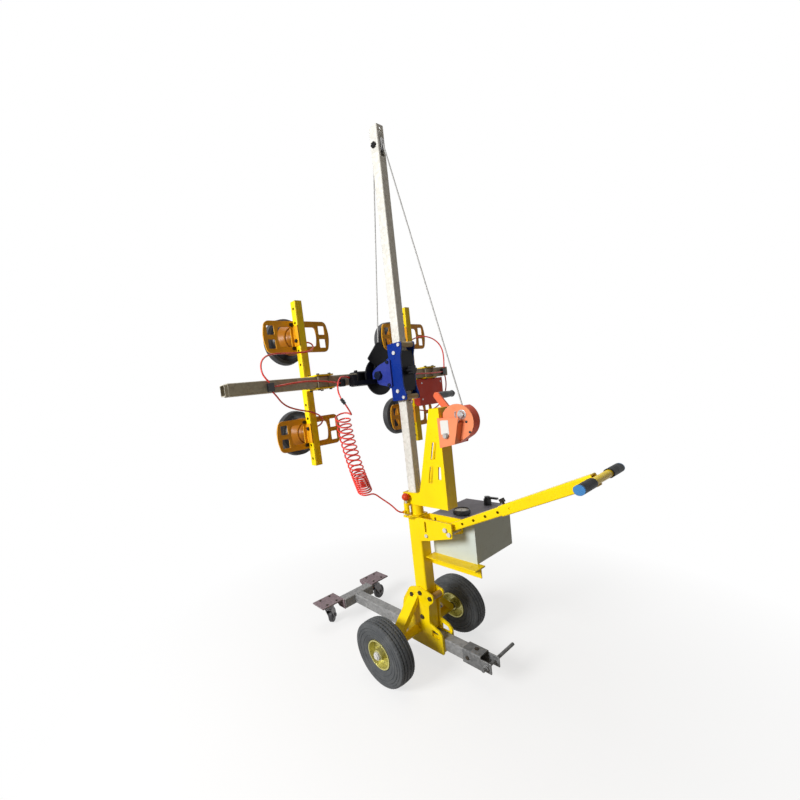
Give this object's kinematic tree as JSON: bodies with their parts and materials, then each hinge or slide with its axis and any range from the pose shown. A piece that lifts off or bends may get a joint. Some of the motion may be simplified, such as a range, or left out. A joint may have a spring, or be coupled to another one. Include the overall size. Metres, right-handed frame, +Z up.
{
  "type": "glass panel lifter",
  "caption": "Wheeled glass lifter: a swivelling mast with a hand winch raises a tilting, turning beam of vacuum cups fed by red hoses.",
  "frame": {"origin": "on the floor below the mast's axis", "axes": "+Z up, +Y forward from the mast to the cups and casters, +X to the right"},
  "size_m": [1.221, 1.2356, 2.164],
  "materials": {
    "yellow_paint": "gloss paint",
    "blue_paint": "gloss paint",
    "orange_paint": "gloss paint",
    "black_paint": "satin paint",
    "galvanised": "spangled zinc",
    "zinc": "bright zinc",
    "rim_zinc": "yellow zinc",
    "grey_paint": "powder coat",
    "lid_grey": "powder coat",
    "tyre_rubber": "matt",
    "cup_rubber": "matt",
    "black_plastic": "satin",
    "red_plastic": "gloss",
    "hose_red": "gloss",
    "rope_steel": "stranded"
  },
  "bodies": {
    "base": {"leg_frame": "galvanised", "caster_brackets": "galvanised", "base_channel": "yellow_paint", "pivot_cheeks": "yellow_paint", "axle_supports": "yellow_paint", "rear_coupler": "galvanised", "frame_fasteners": "zinc", "lower_post": "yellow_paint", "box_shelf": "yellow_paint", "vacuum_box": "grey_paint", "box_lid": "lid_grey", "battery": "black_plastic", "vacuum_pump": "zinc", "vacuum_gauge": "black_plastic", "drawbar_bracket": "yellow_paint"},
    "valve": {"valve_lever": "black_plastic"},
    "wheel_left": {"tyre_left": "tyre_rubber", "rim_left": "rim_zinc"},
    "wheel_right": {"tyre_right": "tyre_rubber", "rim_right": "rim_zinc"},
    "caster_left": {"caster_fork_left": "zinc"},
    "caster_roller_left": {"caster_wheel_left": "black_plastic"},
    "caster_right": {"caster_fork_right": "zinc"},
    "caster_roller_right": {"caster_wheel_right": "black_plastic"},
    "drawbar": {"drawbar_bar": "yellow_paint"},
    "drawbar_outer": {"drawbar_sleeve": "yellow_paint", "handle_grips": "black_plastic"},
    "mast": {"swivel_foot": "yellow_paint", "winch_tower": "yellow_paint", "mast_tube": "galvanised", "winch_frame": "orange_paint", "mast_fasteners": "zinc", "rope_rear_fall": "rope_steel", "rope_front_fall": "rope_steel", "hose_coil": "hose_red", "hose_tail": "hose_red"},
    "plunger": {"lock_plunger": "red_plastic"},
    "drum": {"winch_drum": "zinc", "rope_winding": "rope_steel"},
    "crank": {"winch_crank": "zinc"},
    "grip": {"crank_grip": "black_plastic"},
    "sheave": {"mast_sheave": "zinc"},
    "carriage": {"carriage_plates": "blue_paint", "carriage_guides": "zinc", "carriage_brackets": "black_paint", "hose_lead": "hose_red"},
    "knob": {"lock_knob": "black_plastic"},
    "tilt": {"tilt_yoke": "black_paint"},
    "head": {"beam_sleeve": "black_paint", "beam_tube": "galvanised", "hose_fittings": "black_plastic", "vacuum_hoses": "hose_red"},
    "extension": {"beam_extension": "galvanised"},
    "arm_left": {"suction_arm_left": "yellow_paint", "cup_plates_left": "yellow_paint", "cup_rubbers_left": "cup_rubber"},
    "arm_right": {"suction_arm_right": "yellow_paint", "cup_plates_right": "yellow_paint", "cup_rubbers_right": "cup_rubber", "valve_box": "orange_paint"}
  },
  "joints": [
    {"name": "wheel_spin_left", "type": "hinge", "parent": "base", "child": "wheel_left", "pos_m": [-0.245, 0.035, 0.13], "axis": [1, 0, 0], "continuous": true},
    {"name": "caster_swivel_left", "type": "hinge", "parent": "base", "child": "caster_left", "pos_m": [-0.1645, 0.5175, 0.12], "axis": [0, 0, 1], "continuous": true},
    {"name": "caster_roll_left", "type": "hinge", "parent": "caster_left", "child": "caster_roller_left", "pos_m": [-0.13771, 0.53843, 0.0375], "axis": [-0.6157, 0.788, 0], "continuous": true},
    {"name": "wheel_spin_right", "type": "hinge", "parent": "base", "child": "wheel_right", "pos_m": [0.245, 0.035, 0.13], "axis": [1, 0, 0], "continuous": true},
    {"name": "caster_swivel_right", "type": "hinge", "parent": "base", "child": "caster_right", "pos_m": [0.1645, 0.5175, 0.12], "axis": [0, 0, 1], "continuous": true},
    {"name": "caster_roll_right", "type": "hinge", "parent": "caster_right", "child": "caster_roller_right", "pos_m": [0.19776, 0.52457, 0.0375], "axis": [-0.2079, 0.9781, 0], "continuous": true},
    {"name": "valve_turn", "type": "hinge", "parent": "base", "child": "valve", "pos_m": [0.259, -0.161, 0.665], "axis": [0, 0, 1], "range_deg": [0, 90]},
    {"name": "drawbar_fold", "type": "hinge", "parent": "base", "child": "drawbar", "pos_m": [0, -0.158, 0.612], "axis": [-1, 0, 0], "range_deg": [0, 28]},
    {"name": "drawbar_extend", "type": "slide", "parent": "drawbar", "child": "drawbar_outer", "axis": [0, -0.9018, 0.4321], "range_m": [0, 0.15]},
    {"name": "mast_swivel", "type": "hinge", "parent": "base", "child": "mast", "pos_m": [0, 0, 0.69], "axis": [0, 0, 1], "range_deg": [-90, 90]},
    {"name": "plunger_drop", "type": "slide", "parent": "mast", "child": "plunger", "axis": [0, 0, 1], "range_m": [-0.012, 0]},
    {"name": "carriage_lift", "type": "slide", "parent": "mast", "child": "carriage", "axis": [0, 0, 1], "range_m": [0, 0.62], "deforming": ["rope_front_fall", "hose_coil", "rope_winding"]},
    {"name": "drum_turn", "type": "hinge", "parent": "mast", "child": "drum", "pos_m": [0, -0.236, 1.022], "axis": [1, 0, 0], "continuous": true},
    {"name": "crank_turn", "type": "hinge", "parent": "mast", "child": "crank", "pos_m": [0, -0.209, 0.97756], "axis": [1, 0, 0], "continuous": true},
    {"name": "grip_spin", "type": "hinge", "parent": "crank", "child": "grip", "pos_m": [0.13, -0.09896, 1.12253], "axis": [1, 0, 0], "continuous": true},
    {"name": "sheave_turn", "type": "hinge", "parent": "mast", "child": "sheave", "pos_m": [0, 0, 2.097], "axis": [1, 0, 0], "continuous": true},
    {"name": "knob_turn", "type": "hinge", "parent": "carriage", "child": "knob", "pos_m": [0, -0.07, 1.236], "axis": [0, 1, 0], "range_deg": [0, 180]},
    {"name": "head_tilt", "type": "hinge", "parent": "carriage", "child": "tilt", "pos_m": [0, 0.083, 1.236], "axis": [-1, 0, 0], "range_deg": [0, 25]},
    {"name": "head_rotate", "type": "hinge", "parent": "tilt", "child": "head", "pos_m": [0, 0.15, 1.236], "axis": [0, 1, 0], "range_deg": [-180, 180]},
    {"name": "beam_extend", "type": "slide", "parent": "head", "child": "extension", "axis": [-1, 0, 0], "range_m": [0, 0.25]},
    {"name": "arm_slide_left", "type": "slide", "parent": "head", "child": "arm_left", "axis": [1, 0, 0], "range_m": [-0.1, 0.03], "deforming": ["vacuum_hoses"]},
    {"name": "arm_slide_right", "type": "slide", "parent": "head", "child": "arm_right", "axis": [1, 0, 0], "range_m": [-0.1, 0.05], "deforming": ["vacuum_hoses"]}
  ],
  "couplings": [
    {"joint": "drum_turn", "follows": "carriage_lift", "rad_per_m": 31.25},
    {"joint": "crank_turn", "follows": "carriage_lift", "rad_per_m": -104.17},
    {"joint": "sheave_turn", "follows": "carriage_lift", "rad_per_m": 40}
  ]
}
